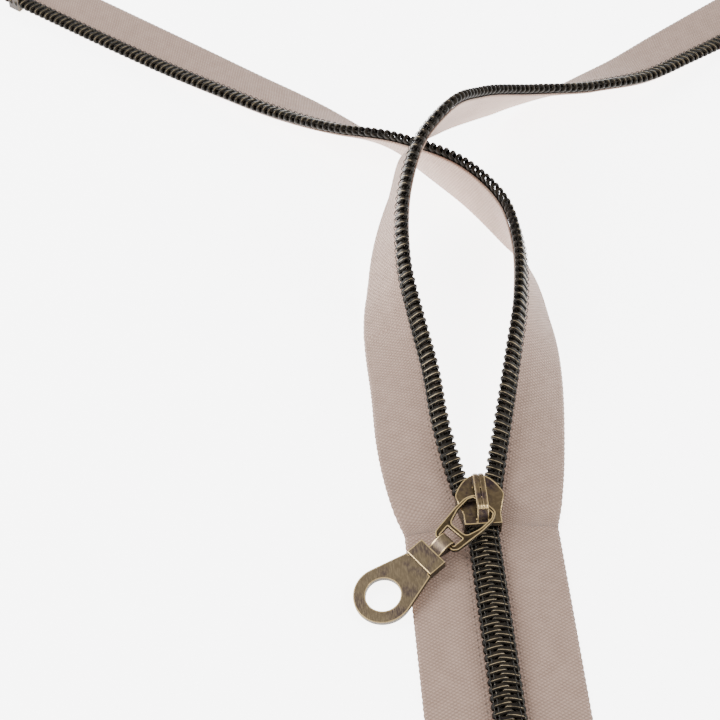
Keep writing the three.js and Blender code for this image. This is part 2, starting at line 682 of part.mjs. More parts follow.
function named(name, geometry, look) {
  const mesh = new THREE.Mesh(geometry, new THREE.MeshStandardMaterial(look));
  mesh.name = name;
  return mesh;
}

function addHalf(group, name, half) {
  group.add(named(`${name}_tape`, makeTape(half), FABRIC));
  group.add(named(`${name}_coil`, makeCoil(half), NYLON));
  group.add(named(`${name}_core_cord`, makeCord(half), YARN));
  group.add(named(`${name}_inner_stitching`, makeThread(half, INNER_ROW), YARN));
  group.add(named(`${name}_outer_stitching`, makeThread(half, OUTER_ROW), YARN));
  group.add(named(`${name}_top_stop`, makeTopStop(half), BRASS));
}

const zipper = new THREE.Group();
addHalf(zipper, 'left', makeHalf(-1, LEFT_ROUTE));
addHalf(zipper, 'right', makeHalf(1, RIGHT_ROUTE));
zipper.add(named('bottom_stop', makeBottomStop(), BRASS));
zipper.add(named('slider_body', makeSliderBody(), BRASS));

const linkPlace = new THREE.Group();
linkPlace.position.set(0, HINGE_Y, HINGE_Z);
linkPlace.rotation.set(LINK_DIP, 0, -LINK_YAW, 'ZYX');
const link = named('pull_link', makeLink(), BRASS);
link.position.x = LINK_ASIDE;
linkPlace.add(link);

const pullPlace = new THREE.Group();
pullPlace.position.set(LINK_ASIDE, -LINK_LENGTH, 0);
pullPlace.rotation.set(PULL_DIP - LINK_DIP, 0, LINK_YAW - PULL_YAW, 'ZYX');
pullPlace.add(named('pull_bail', makeBail(), BRASS));
pullPlace.add(named('pull_collar', makeCollar(), BRASS));
pullPlace.add(named('pull_tab', makeTab(), BRASS));
linkPlace.add(pullPlace);
zipper.add(linkPlace);

export default zipper;
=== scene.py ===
"""The looks of a nylon-coil zipper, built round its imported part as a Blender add-on run as a script."""

import math

import bmesh
import bpy
import numpy as np
from bpy.props import FloatProperty, IntProperty, PointerProperty
from mathutils import Matrix, Vector


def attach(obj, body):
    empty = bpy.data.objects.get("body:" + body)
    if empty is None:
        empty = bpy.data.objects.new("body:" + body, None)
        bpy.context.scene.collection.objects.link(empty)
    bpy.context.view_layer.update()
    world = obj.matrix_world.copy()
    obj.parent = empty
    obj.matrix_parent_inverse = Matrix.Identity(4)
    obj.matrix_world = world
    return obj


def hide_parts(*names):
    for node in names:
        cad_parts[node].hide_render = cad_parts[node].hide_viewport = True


bl_info = {
    "name": "Coil Zipper Looks",
    "version": (1, 0, 0),
    "blender": (4, 5, 0),
    "location": "View3D > Sidebar > Zipper",
    "description": "Builds tapes, coils, stitching and metal finishes round the packed zipper",
    "category": "Object",
}

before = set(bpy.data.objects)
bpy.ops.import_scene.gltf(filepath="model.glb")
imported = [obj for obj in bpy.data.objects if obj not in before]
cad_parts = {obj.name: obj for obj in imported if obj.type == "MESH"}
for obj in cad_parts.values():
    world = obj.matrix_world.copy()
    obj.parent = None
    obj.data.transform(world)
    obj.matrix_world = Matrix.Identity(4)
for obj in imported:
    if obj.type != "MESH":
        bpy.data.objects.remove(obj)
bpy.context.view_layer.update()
MM = 0.001

# ---- The chain, in millimetres, as in the part's source ----------------------------------
TAPE_THICKNESS = 0.5
TAPE_INNER = -0.7
TAPE_BEND = 4.2
TAPE_OUTER = 13.6
TAPE_END = 12.0
SPINE_X = 1.2
SEAT = 0.95
COIL_OUTER = 1.9
COIL_HEIGHT = 2.15
LEG_DROP = 0.4
INNER_ROW = 0.72
OUTER_ROW = 1.42
CHAIN_FOOT = -60.0
PARTING_Y = -3.5
PARTING_RUN = 1.5
ARM_LENGTH = 224.0
SHOULDER_POINT = [3.15, 4.6, 0, SEAT]
CROSSING_TILT = 80
CROSSING_CLEARANCE = 2.3
EDGE_ON_HEIGHT = TAPE_OUTER * math.sin(math.radians(CROSSING_TILT))
CROSSING_LIFT = EDGE_ON_HEIGHT + COIL_HEIGHT + CROSSING_CLEARANCE

# Each point is [x, y, twist in degrees, lift]; the tape lies flat at twist 0.
LEFT_ROUTE = [
    [-5.3, 18, 16, 0],
    [-6, 31, 24, 0],
    [-7.6, 44, 36, 0],
    [-8.8, 55, 51, 0.09 * CROSSING_LIFT],
    [-7.5, 68, 61, 0.49 * CROSSING_LIFT],
    [-4.5, 75, 54, 0.83 * CROSSING_LIFT],
    [1.5, 82, 52, CROSSING_LIFT],
    [10.5, 93.6, 55, 0.61 * CROSSING_LIFT],
    [24, 104.4, 47, 0.15 * CROSSING_LIFT],
    [39, 110.8, 32, 0],
    [53, 117.6, 15, 0],
    [67, 127, 6, 0],
    [81, 136.5, 0, 0.3],
    [95, 146, 0, SEAT],
    [124, 165, 0, SEAT],
]
RIGHT_ROUTE = [
    [6, 17, 17, 0],
    [9.5, 32, 34, 0],
    [12.5, 46, 53, 0],
    [13.5, 59, 66, 0],
    [12, 69, CROSSING_TILT, 0],
    [5.5, 80.5, CROSSING_TILT, 0],
    [-7.5, 91, 62, 0],
    [-20.5, 100, 35, 0],
    [-33.5, 110.5, 17, 0],
    [-47, 121, 11, 0],
    [-60, 131.5, 6, 0],
    [-73, 142, 4, 0],
    [-86, 152.5, 2, 0.3],
    [-97.5, 161.5, 0, SEAT],
    [-117, 177, 0, SEAT],
]

# ---- The coil's filament, in millimetres --------------------------------------------------
COIL_PITCH = 1.6
HEAD_REACH = 0.8  # how far each head passes the middle of the closed chain
HALF_THICKNESS = 0.36
LEG_HALF_WIDTH = 0.6
HEAD_HALF_WIDTH = 0.38
HEAD_START = -0.95  # across the tape, where a leg starts to narrow into its head
HEAD_RUN = 0.5  # across the tape, from the full width to the head's
LEG_SWEEP = 0.45  # how far a leg is swept back at the outside of the coil
COIL_FOOT = 0.28  # above the tape's middle
COIL_TOP = 2.55
HEAD_FLATNESS = 0.6  # below 1, the head and the return stand straighter
LEG_FLATNESS = 0.75  # below 1, the legs lie straighter
SLANT_START, SLANT_END = 0.02, 0.42  # the shares of a turn between which its foot leg slants
TURN_RINGS = 27
TURN_OVERLAP = 0.01  # the share of a turn by which each one enters the next
FILAMENT_SIDES = 16
CREST_SIDE = 11  # the ring point with the painted highlight line, on the left coil; the right one mirrors it
CREST_FADE = 0.6  # the width, at the outside of the coil, over which that line dims
CREST_DIM = 0.5  # how much of it is lost there

# ---- Thread and cord, in millimetres --------------------------------------------------------
THREAD_RADIUS = 0.08
THREAD_OVAL = 1.25  # how much wider than high the thread lies
THREAD_SIDES = 6
STITCH_RINGS = 13
STITCH_REACH = 0.52  # to either side of a leg, as a share of the pitch
STITCH_DIP = 0.42
CORD_ACROSS = 0.35
CORD_UP = 1.29
CORD_HALF_WIDTH = 0.42
CORD_HALF_HEIGHT = 0.26
CORD_SIDES = 12
CORD_STEP = 0.4
CORD_LAY = 3.2  # length of one turn of the cord's strands
STRANDS = 3
STRAND_SWELL = 0.07


# ---- The line each half follows, in millimetres ---------------------------------------------
MEASURING_STEP = 0.25  # between the points that a length is added up from
HEADING_STEP = 0.05  # to either side of a point, for the way the spine heads there


class Route:
    """A cubic through route points, with slopes weighted by the lengths on either side."""

    def __init__(self, points):
        self.points = np.array(points, float)
        self.runs = np.hypot(*np.diff(self.points[:, :2], axis=0).T)
        self.starts = np.concatenate([[0.0], np.cumsum(self.runs)])
        self.total = self.starts[-1]
        slopes = np.diff(self.points, axis=0) / self.runs[:, None]
        before, after = self.runs[:-1, None], self.runs[1:, None]
        middle = (slopes[:-1] * after + slopes[1:] * before) / (before + after)
        self.tangents = np.vstack([slopes[:1], middle, slopes[-1:]])

    def at(self, distances):
        """[x, y, twist, lift] at each distance."""
        i = np.clip(np.searchsorted(self.starts, distances) - 1, 0, len(self.runs) - 1)
        h = self.runs[i]
        t = (distances - self.starts[i]) / h
        t, h = t[:, None], h[:, None]
        start = (2 * t**3 - 3 * t**2 + 1) * self.points[i]
        start = start + (t**3 - 2 * t**2 + t) * h * self.tangents[i]
        end = (3 * t**2 - 2 * t**3) * self.points[i + 1]
        end = end + (t**3 - t**2) * h * self.tangents[i + 1]
        return start + end


def unit(vectors):
    """Each row at length one."""
    return vectors / np.linalg.norm(vectors, axis=1)[:, None]


class Half:
    """One half of the zipper: where its spine runs and how its tape is turned there."""

    def __init__(self, name, side, route):
        self.name = name
        self.side = side
        foot = CHAIN_FOOT - TAPE_END
        points = [
            [side * SPINE_X, foot, 0, SEAT],
            [side * SPINE_X, PARTING_Y - PARTING_RUN, 0, SEAT],
            [side * SPINE_X, PARTING_Y, 0, SEAT],
            [side * SHOULDER_POINT[0], *SHOULDER_POINT[1:]],
            *route,
        ]
        self.route = Route(points)
        self.coil_start = TAPE_END
        self.coil_end = self.after(PARTING_Y - PARTING_RUN - foot, ARM_LENGTH)
        self.tape_end = min(self.coil_end + TAPE_END, self.route.total)

    def centres(self, distances):
        """The spine's points, with the tape's turn and the droop of its margin, in millimetres."""
        x, y, twist, lift = self.route.at(distances).T
        angle = np.radians(np.maximum(twist, 0))
        held = np.maximum(lift, 0)
        z = TAPE_THICKNESS / 2 + TAPE_OUTER * np.sin(angle) + held
        droop = np.arcsin(np.minimum(held, SEAT) / (TAPE_OUTER - TAPE_BEND))
        return np.stack([x, y, z], axis=1), angle, droop

    def after(self, start, length):
        """The distance at which the spine has run a length past start."""
        distances = np.arange(start, self.route.total, MEASURING_STEP)
        centre, _, _ = self.centres(distances)
        run = np.concatenate([[0], np.cumsum(np.linalg.norm(np.diff(centre, axis=0), axis=1))])
        return float(np.interp(length, run, distances))

    def stations(self, distances):
        """Centres and the tape's own axes along the spine."""
        centre, angle, droop = self.centres(distances)
        ahead = self.centres(np.minimum(distances + HEADING_STEP, self.route.total))[0]
        behind = self.centres(np.maximum(distances - HEADING_STEP, 0))[0]
        along = unit(ahead - behind)
        level = np.stack([along[:, 1], -along[:, 0], np.zeros(len(along))], axis=1)
        outward = unit(level) * self.side
        upward = unit(np.cross(outward, along) * self.side)
        cos, sin = np.cos(angle)[:, None], np.sin(angle)[:, None]
        return {
            "centre": centre,
            "along": along,
            "across": outward * cos - upward * sin,
            "up": outward * sin + upward * cos,
            "droop": droop,
        }


def place(stations, across, up):
    """Points at one height over the tape for every station (rows) and across value (columns)."""
    droop = stations["droop"][:, None]
    cos, sin = np.cos(droop), np.sin(droop)
    margin = np.maximum(across - TAPE_BEND, 0)
    bent = margin > 0
    sideways = np.minimum(across, TAPE_BEND) + margin * cos + np.where(bent, up * sin, 0)
    height = np.where(bent, up * cos, up) - margin * sin
    points = stations["centre"][:, None, :] + sideways[..., None] * stations["across"][:, None, :]
    return points + height[..., None] * stations["up"][:, None, :]


HALVES = [Half("left", -1, LEFT_ROUTE), Half("right", 1, RIGHT_ROUTE)]


# ---- Meshes ------------------------------------------------------------------------------------
def new_object(name, points, faces, uvs=None, edges=()):
    """A mesh object in the scene, at the origin, from points in metres."""
    mesh = bpy.data.meshes.new(name)
    mesh.from_pydata([tuple(p) for p in points], list(edges), [tuple(f) for f in faces])
    if uvs is not None:
        layer = mesh.uv_layers.new(name="Cloth")
        corners = np.zeros(len(mesh.loops), int)
        mesh.loops.foreach_get("vertex_index", corners)
        layer.data.foreach_set("uv", np.asarray(uvs, np.float32)[corners].ravel())
    mesh.update()
    obj = bpy.data.objects.new(name, mesh)
    bpy.context.scene.collection.objects.link(obj)
    return obj


def give_values(mesh, name, values):
    """Stores one number for each point of a mesh under a name."""
    layer = mesh.attributes.new(name, "FLOAT", "POINT")
    layer.data.foreach_set("value", np.asarray(values, np.float32).ravel())


def outward(obj):
    """Turns every face of a closed mesh outwards and shades it smooth."""
    work = bmesh.new()
    work.from_mesh(obj.data)
    bmesh.ops.recalc_face_normals(work, faces=work.faces)
    for face in work.faces:
        face.smooth = True
    work.to_mesh(obj.data)
    work.free()


def finish_piece(obj, body, nodes):
    """Parents a finished piece to its body's empty and hides the CAD nodes it stands for."""
    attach(obj, body)
    if nodes:
        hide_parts(*nodes)


# ---- Shader expressions ----------------------------------------------------------------------------
MIX_FACTOR, MIX_FIRST, MIX_SECOND = 0, 6, 7  # places of a colour mix's sockets
MIX_COLOUR = 2  # the place of its result


class Field:
    """A shader value that can be written as arithmetic."""

    def __init__(self, finish, socket):
        self.finish = finish
        self.socket = socket

    def __add__(self, other):
        return self.finish.math("ADD", self, other)

    __radd__ = __add__

    def __sub__(self, other):
        return self.finish.math("SUBTRACT", self, other)

    def __rsub__(self, other):
        return self.finish.math("SUBTRACT", other, self)

    def __mul__(self, other):
        return self.finish.math("MULTIPLY", self, other)

    __rmul__ = __mul__

    def __truediv__(self, other):
        return self.finish.math("DIVIDE", self, other)

    def __rtruediv__(self, other):
        return self.finish.math("DIVIDE", other, self)

    def ramp(self, low, high):
        """0 below low, 1 above high and smooth in between."""
        return self.finish.node(
            "ShaderNodeMapRange",
            {"interpolation_type": "SMOOTHSTEP"},
            {"Value": self, "From Min": low, "From Max": high},
            "Result",
        )

    def mix(self, first, second):
        """A colour between first and second, by this value."""
        return self.finish.node(
            "ShaderNodeMix",
            {"data_type": "RGBA"},
            {MIX_FACTOR: self, MIX_FIRST: first, MIX_SECOND: second},
            MIX_COLOUR,
        )


class Finish:
    """A material under construction: its nodes and its principled surface."""

    def __init__(self, name):
        self.material = bpy.data.materials.new(name)
        self.material.use_nodes = True
        self.tree = self.material.node_tree
        self.surface = self.tree.nodes["Principled BSDF"]

    def feed(self, socket, value):
        """Links a field to a socket, or sets the socket to a plain value."""
        if isinstance(value, Field):
            self.tree.links.new(value.socket, socket)
        elif socket.type == "RGBA":
            socket.default_value = (*value, 1)
        else:
            socket.default_value = value

    def node(self, kind, settings, values, output=0):
        """One output of a new node, whose settings are set before its sockets are fed."""
        node = self.tree.nodes.new(kind)
        for name, setting in settings.items():
            setattr(node, name, setting)
        for place_or_name, value in values.items():
            self.feed(node.inputs[place_or_name], value)
        return Field(self, node.outputs[output])

    def math(self, operation, *values):
        """A maths node fed with values in order."""
        return self.node("ShaderNodeMath", {"operation": operation}, dict(enumerate(values)))

    def coordinates(self, kind):
        """Texture coordinates of one kind."""
        return self.node("ShaderNodeTexCoord", {}, {}, kind)

    def part(self, vector, axis):
        """One axis of a vector."""
        return self.node("ShaderNodeSeparateXYZ", {}, {"Vector": vector}, axis)

    def attribute(self, name):
        """A mesh attribute as a field."""
        return self.node("ShaderNodeAttribute", {"attribute_name": name}, {}, "Fac")

    def noise(self, vector, scale, detail=3.0, stretch=(1, 1, 1)):
        """Noise at a scale per unit of the vector, stretched along its axes."""
        stretched = self.node("ShaderNodeMapping", {}, {"Vector": vector, "Scale": stretch})
        values = {"Vector": stretched, "Scale": scale, "Detail": detail}
        return self.node("ShaderNodeTexNoise", {}, values, "Fac")

    def set(self, name, value):
        """Feeds one input of the surface, from a field or a constant."""
        self.feed(self.surface.inputs[name], value)

    def bump(self, height, depth):
        """Relief of a depth in metres."""
        self.set("Normal", self.node("ShaderNodeBump", {}, {"Distance": depth, "Height": height}))


# ---- Finishes: noise scales are per metre, but per millimetre on the cloth --------------------------
WEAVE_COLUMN = 0.58  # across one wale
WEAVE_ROW = 0.7
STITCH_HOLE_ACROSS = 2.35
STITCH_HOLE_CORE = 0.02  # square of the radius where a stitch hole is darkest
STITCH_HOLE_RIM = 0.075  # square of the radius where it ends
STITCH_HOLE_SHADE = 0.35
CLOUD_SCALE = 0.35
FLECK_SCALE = 5.5
CLOTH_DARK = (0.2, 0.125, 0.092)
CLOTH_PALE = (0.43, 0.3, 0.24)
CLOTH_HOLE = (0.07, 0.055, 0.045)
KNOT_SHARE, RIB_SHARE, FLECK_SHARE = 0.55, 0.25, 0.9  # of the cloth's relief
TONE_BASE = 0.14
TONE_OF_RELIEF = 0.5
TONE_OF_CLOUDS = 0.4
TONE_SPAN = (-0.1, 1.1)  # the tones at which the cloth is darkest and palest
CLOTH_RELIEF = 0.1


def cloth_finish():
    """Fine polyester warp knit: wales of small knots, each wale half a knot on from the last."""
    finish = Finish("woven_tape")
    vector = finish.coordinates("UV")
    across, along = finish.part(vector, "X"), finish.part(vector, "Y")
    column = across / WEAVE_COLUMN
    odd = finish.math("FRACT", finish.math("FLOOR", column) * 0.5)
    knot = finish.math("COSINE", (along / WEAVE_ROW + odd) * (2 * math.pi))
    rib = finish.math("SINE", finish.math("FRACT", column) * math.pi)
    cloudy = finish.noise(vector, CLOUD_SCALE)
    fleck = finish.noise(vector, FLECK_SCALE, 2.0)
    relief = knot * rib * KNOT_SHARE + rib * RIB_SHARE + fleck * FLECK_SHARE
    tone = relief * TONE_OF_RELIEF + TONE_BASE + (cloudy - 0.5) * TONE_OF_CLOUDS
    colour = tone.ramp(*TONE_SPAN).mix(CLOTH_DARK, CLOTH_PALE)
    hole_row = finish.math("FRACT", along / COIL_PITCH) - 0.5
    hole_column = across - STITCH_HOLE_ACROSS
    spot = hole_row * hole_row * (COIL_PITCH * COIL_PITCH) + hole_column * hole_column
    hole = 1.0 - spot.ramp(STITCH_HOLE_CORE, STITCH_HOLE_RIM)
    finish.set("Base Color", (hole * STITCH_HOLE_SHADE).mix(colour, CLOTH_HOLE))
    finish.set("Roughness", 0.88)
    finish.set("Sheen Weight", 0.25)
    finish.set("Sheen Roughness", 0.5)
    finish.set("Specular IOR Level", 0.25)
    finish.bump(relief - hole, CLOTH_RELIEF * MM)
    return finish.material


NYLON_PATCH_SCALE = 700.0
NYLON_GRAIN_SCALE = 2400.0
NYLON_DARKEST = (0.005, 0.004, 0.003)
NYLON_DARK = (0.016, 0.012, 0.008)
NYLON_CREST_HIGHLIGHT = (0.4, 0.32, 0.2)
NYLON_PATCHES = (0.3, 0.7)  # the noise at which a patch starts and is full
NYLON_CREST = (0.62, 0.95)  # how near the crest its painted highlight starts and is full
HIGHLIGHT_PATCHES = (0.35, 0.6)
HIGHLIGHT_LEAST = 0.3  # how bright the painted highlight is between its patches
NYLON_RELIEF = 0.01


def nylon_finish():
    """Near-black filament, with a painted brassy highlight line along the crest of each turn."""
    finish = Finish("coil_nylon")
    vector = finish.coordinates("Object")
    patch = finish.noise(vector, NYLON_PATCH_SCALE)
    grain = finish.noise(vector, NYLON_GRAIN_SCALE, 2.0)
    black = patch.ramp(*NYLON_PATCHES).mix(NYLON_DARKEST, NYLON_DARK)
    patchy = patch.ramp(*HIGHLIGHT_PATCHES) * (1 - HIGHLIGHT_LEAST) + HIGHLIGHT_LEAST
    # Painted highlight: a brassy line along the top of each turn, in patches.
    wear_and_highlight = finish.attribute("crest").ramp(*NYLON_CREST) * patchy
    finish.set("Base Color", wear_and_highlight.mix(black, NYLON_CREST_HIGHLIGHT))
    finish.set("Metallic", wear_and_highlight * 0.5)
    finish.set("Roughness", patch * 0.16 + 0.3)
    finish.set("Specular IOR Level", 0.12)
    finish.bump(grain, NYLON_RELIEF * MM)
    return finish.material


THREAD_FIBRE_SCALE = 3000.0
THREAD_DARK = (0.008, 0.007, 0.005)
THREAD_PALE = (0.24, 0.2, 0.14)
THREAD_FLECKS = (0.58, 0.75)
THREAD_RELIEF = 0.02


def thread_finish():
    """Dark sewing thread with pale flecks where its filaments catch the light."""
    finish = Finish("sewing_thread")
    fibre = finish.noise(finish.coordinates("Object"), THREAD_FIBRE_SCALE, 2.0)
    finish.set("Base Color", fibre.ramp(*THREAD_FLECKS).mix(THREAD_DARK, THREAD_PALE))
    finish.set("Roughness", 0.8)
    finish.bump(fibre, THREAD_RELIEF * MM)
    return finish.material


CORD_FIBRE_SCALE = 2500.0
CORD_DARK = (0.01, 0.008, 0.006)
CORD_PALE = (0.05, 0.04, 0.028)
CORD_FIBRES = (0.3, 0.7)
CORD_RELIEF = 0.03


def cord_finish():
    """Dark fibrous cord inside the coil."""
    finish = Finish("core_cord")
    fibre = finish.noise(finish.coordinates("Object"), CORD_FIBRE_SCALE, 2.0)
    finish.set("Base Color", fibre.ramp(*CORD_FIBRES).mix(CORD_DARK, CORD_PALE))
    finish.set("Roughness", 0.9)
    finish.bump(fibre, CORD_RELIEF * MM)
    return finish.material


STAIN_SCALE = 320.0
BRUSH_SCALE = 1500.0
SPECK_SCALE = 2600.0
STAIN_LOW, STAIN_HIGH = 0.62, 0.82  # where a stain starts and is full, with no patina share
BRUSHED_GAIN = 1.6  # how much paler than the aged brass a brushed streak is
STREAKS = (0.42, 0.68)  # the brushing at which a paler streak starts and is full
STREAK_SHARE = 0.5
# Painted shade: the near-black colour that walls leaning away from the part's up are darkened towards, and
# how much of it they get.
BRASS_WALL_SHADE = (0.02, 0.014, 0.009)
WALL_SHADE_SHARE = 0.8
WALL_WEAR_CUT = 0.97  # how much of the wear is taken off a wall, so that its painted shade stays dark
BRASS_WORN = (0.62, 0.45, 0.22)
WEAR_SPAN = (0.5, 0.7)  # how near an edge the wear starts and is full
WEAR_RAGGED = 0.5  # how far the stains move the rim of a worn place
SPECKS = (0.18, 0.5)
SPECK_LEAST = 0.6  # how worn a speck still is
BRUSH_SHARE, SPECK_SHARE = 0.7, 0.3  # of the brass's relief
BRASS_RELIEF = 0.02
# Each brass: the aged colour, its patina, the share of patina and the stretch of its brushing.
SLIDER_BRASS = ((0.115, 0.083, 0.046), (0.048, 0.032, 0.034), 0.2, (1, 1, 1))
LINK_BRASS = ((0.06, 0.042, 0.022), (0.025, 0.017, 0.012), 0.18, (1, 1, 1))
PULL_BRASS = ((0.155, 0.117, 0.072), (0.09, 0.066, 0.055), 0.16, (3, 0.6, 1))


def brass_finish(name, aged, patina, patina_share, stretch):
    """Antique brass: aged on the flats, with painted shade on the walls, bright where edges are worn."""
    finish = Finish(name)
    vector = finish.coordinates("Object")
    stain = finish.noise(vector, STAIN_SCALE, 4.0)
    brushed = finish.noise(vector, BRUSH_SCALE, 3.0, stretch)
    speck = finish.noise(vector, SPECK_SCALE, 2.0)
    stained = stain.ramp(STAIN_LOW - patina_share, STAIN_HIGH - patina_share)
    lighter = tuple(min(1.0, BRUSHED_GAIN * c) for c in aged)
    flats = (brushed.ramp(*STREAKS) * STREAK_SHARE).mix(stained.mix(aged, patina), lighter)
    # Painted shade on the walls, from the side weight that each face gets from its lean.
    wall_shade = finish.attribute("side")
    flats = (wall_shade * WALL_SHADE_SHARE).mix(flats, BRASS_WALL_SHADE)
    speckled = speck.ramp(*SPECKS) * (1 - SPECK_LEAST) + SPECK_LEAST
    worn = (finish.attribute("wear") + (stain - 0.5) * WEAR_RAGGED).ramp(*WEAR_SPAN)
    worn = worn * speckled * (1.0 - wall_shade * WALL_WEAR_CUT)
    finish.set("Base Color", worn.mix(flats, BRASS_WORN))
    finish.set("Metallic", 0.95 - wall_shade * 0.5)
    finish.set("Roughness", brushed * 0.2 + 0.27 - worn * 0.08 + wall_shade * 0.2)
    finish.bump(brushed * BRUSH_SHARE + speck * SPECK_SHARE, BRASS_RELIEF * MM)
    return finish.material


# ---- Laying a small piece along a line --------------------------------------------------------------
LINE_STEP = 0.5  # millimetres between the points of a line that pieces are laid along


def along_line_nodes():
    """Geometry nodes that repeat one piece along a line, turned with the tape."""
    tree = bpy.data.node_groups.new("repeat_along_line", "GeometryNodeTree")
    add_socket = tree.interface.new_socket
    add_socket("Geometry", in_out="INPUT", socket_type="NodeSocketGeometry")
    add_socket("Piece", in_out="INPUT", socket_type="NodeSocketObject")
    spacing = add_socket("Spacing", in_out="INPUT", socket_type="NodeSocketFloat")
    spacing.default_value = COIL_PITCH * MM
    add_socket("Material", in_out="INPUT", socket_type="NodeSocketMaterial")
    add_socket("Geometry", in_out="OUTPUT", socket_type="NodeSocketGeometry")
    new, link = tree.nodes.new, tree.links.new
    given, result = new("NodeGroupInput"), new("NodeGroupOutput")
    line, points = new("GeometryNodeMeshToCurve"), new("GeometryNodeResampleCurve")
    points.mode = "LENGTH"
    piece, instances = new("GeometryNodeObjectInfo"), new("GeometryNodeInstanceOnPoints")
    turn = new("FunctionNodeAxesToRotation")
    turn.primary_axis, turn.secondary_axis = "X", "Z"
    link(given.outputs["Geometry"], line.inputs["Mesh"])
    link(line.outputs["Curve"], points.inputs["Curve"])
    link(given.outputs["Spacing"], points.inputs["Length"])
    link(given.outputs["Piece"], piece.inputs["Object"])
    link(points.outputs["Curve"], instances.inputs["Points"])
    link(piece.outputs["Geometry"], instances.inputs["Instance"])
    for axis, attribute in (("Primary Axis", "along"), ("Secondary Axis", "up")):
        named = new("GeometryNodeInputNamedAttribute")
        named.data_type = "FLOAT_VECTOR"
        named.inputs["Name"].default_value = attribute
        link(named.outputs["Attribute"], turn.inputs[axis])
    link(turn.outputs["Rotation"], instances.inputs["Rotation"])
    real, coloured = new("GeometryNodeRealizeInstances"), new("GeometryNodeSetMaterial")
    link(instances.outputs["Instances"], real.inputs["Geometry"])
    link(real.outputs["Geometry"], coloured.inputs["Geometry"])
    link(given.outputs["Material"], coloured.inputs["Material"])
    link(coloured.outputs["Geometry"], result.inputs["Geometry"])
    return tree


def spine_line(half, name, offset, across, up):
    """An edge line beside the spine that carries the tape's axes as attributes."""
    distances = np.arange(half.coil_start + offset, half.coil_end, LINE_STEP)
    stations = half.stations(distances)
    points = place(stations, np.array([[across]]), up)[:, 0, :] * MM
    edges = [(i, i + 1) for i in range(len(points) - 1)]
    line = new_object(name, points, [], edges=edges)
    for attribute in ("along", "up"):
        layer = line.data.attributes.new(attribute, "FLOAT_VECTOR", "POINT")
        layer.data.foreach_set("vector", stations[attribute].astype(np.float32).ravel())
    return line


def lay(line, piece, material, spacing):
    """Repeats piece along line and keeps the result as a plain mesh."""
    modifier = line.modifiers.new("repeat", "NODES")
    group = bpy.data.node_groups.get("repeat_along_line") or along_line_nodes()
    modifier.node_group = group
    sockets = {s.name: s.identifier for s in group.interface.items_tree if s.in_out == "INPUT"}
    modifier[sockets["Piece"]] = piece
    modifier[sockets["Spacing"]] = spacing
    modifier[sockets["Material"]] = material
    bpy.context.view_layer.update()
    evaluated = line.evaluated_get(bpy.context.evaluated_depsgraph_get())
    mesh = bpy.data.meshes.new_from_object(evaluated)
    line.modifiers.clear()
    line.data = mesh
    bpy.data.objects.remove(piece)


def tube(centres, sides, radii, upright):
    """A tube of oval rings: radii is (along the upright, across it) for each centre."""
    ahead = unit(np.gradient(centres, axis=0))
    first = unit(upright - (upright * ahead).sum(1)[:, None] * ahead)
    second = np.cross(ahead, first)
    angles = np.linspace(0, 2 * math.pi, sides, endpoint=False)
    ring = np.cos(angles)[None, :, None] * first[:, None, :] * radii[:, 0][:, None, None]
    ring = ring + np.sin(angles)[None, :, None] * second[:, None, :] * radii[:, 1][:, None, None]
    points = (centres[:, None, :] + ring).reshape(-1, 3)
    last = (len(centres) - 1) * sides
    faces = []
    for ring_start in range(0, last, sides):
        for side in range(sides):
            a = ring_start + side
            b = ring_start + (side + 1) % sides
            faces.append((a, b, b + sides, a + sides))
    faces.append(tuple(range(sides))[::-1])
    faces.append(tuple(range(last, last + sides)))
    return points, faces


def smooth_step(values, low, high):
    """0 below low, 1 above high and smooth in between."""
    t = np.clip((values - low) / (high - low), 0, 1)
    return t * t * (3 - 2 * t)


def rounded(values, power):
    """A sine or cosine pushed towards its ends, so that an oval gets straighter sides."""
    return np.sign(values) * np.abs(values) ** power


def coil_turn(side, pitch):
    """One turn of the filament: slanted foot leg, upright head, straight top leg and return."""
    phase = np.linspace(-TURN_OVERLAP, 1 + TURN_OVERLAP, TURN_RINGS)
    turn = 2 * math.pi * phase
    inner = -(SPINE_X + HEAD_REACH) + HALF_THICKNESS
    outer = COIL_OUTER - HALF_THICKNESS
    across = (inner + outer) / 2 + (outer - inner) / 2 * rounded(np.cos(turn), HEAD_FLATNESS)
    foot = COIL_FOOT + HALF_THICKNESS
    top = COIL_TOP - HALF_THICKNESS - LEG_DROP * smooth_step(across, inner, outer)
    up = (foot + top) / 2 - (top - foot) / 2 * rounded(np.sin(turn), LEG_FLATNESS)
    slant = pitch * (smooth_step(phase, SLANT_START, SLANT_END) - 0.5)
    along = slant - LEG_SWEEP * ((across - inner) / (outer - inner)) ** 2
    head = 1 - smooth_step(across, HEAD_START - HEAD_RUN, HEAD_START)
    width = LEG_HALF_WIDTH + (HEAD_HALF_WIDTH - LEG_HALF_WIDTH) * head
    centres = np.stack([along, -side * across, up], axis=1)
    upright = np.tile([1.0, 0.0, 0.0], (TURN_RINGS, 1))
    radii = np.stack([width, np.full(TURN_RINGS, HALF_THICKNESS)], axis=1)
    points, faces = tube(centres, FILAMENT_SIDES, radii, upright)
    obj = new_object("coil_turn", points * MM, faces)
    # Painted highlight: the crest line on the top leg only, dimmer at the coil's outside.
    crest = np.zeros((TURN_RINGS, FILAMENT_SIDES), np.float32)
    crest_side = CREST_SIDE if side < 0 else FILAMENT_SIDES - CREST_SIDE
    on_top = smooth_step(up, (foot + top) / 2, top - HALF_THICKNESS)
    faded = 1 - CREST_DIM * smooth_step(across, outer - CREST_FADE, outer)
    crest[:, crest_side] = on_top * faded
    give_values(obj.data, "crest", crest)
    outward(obj)
    return obj


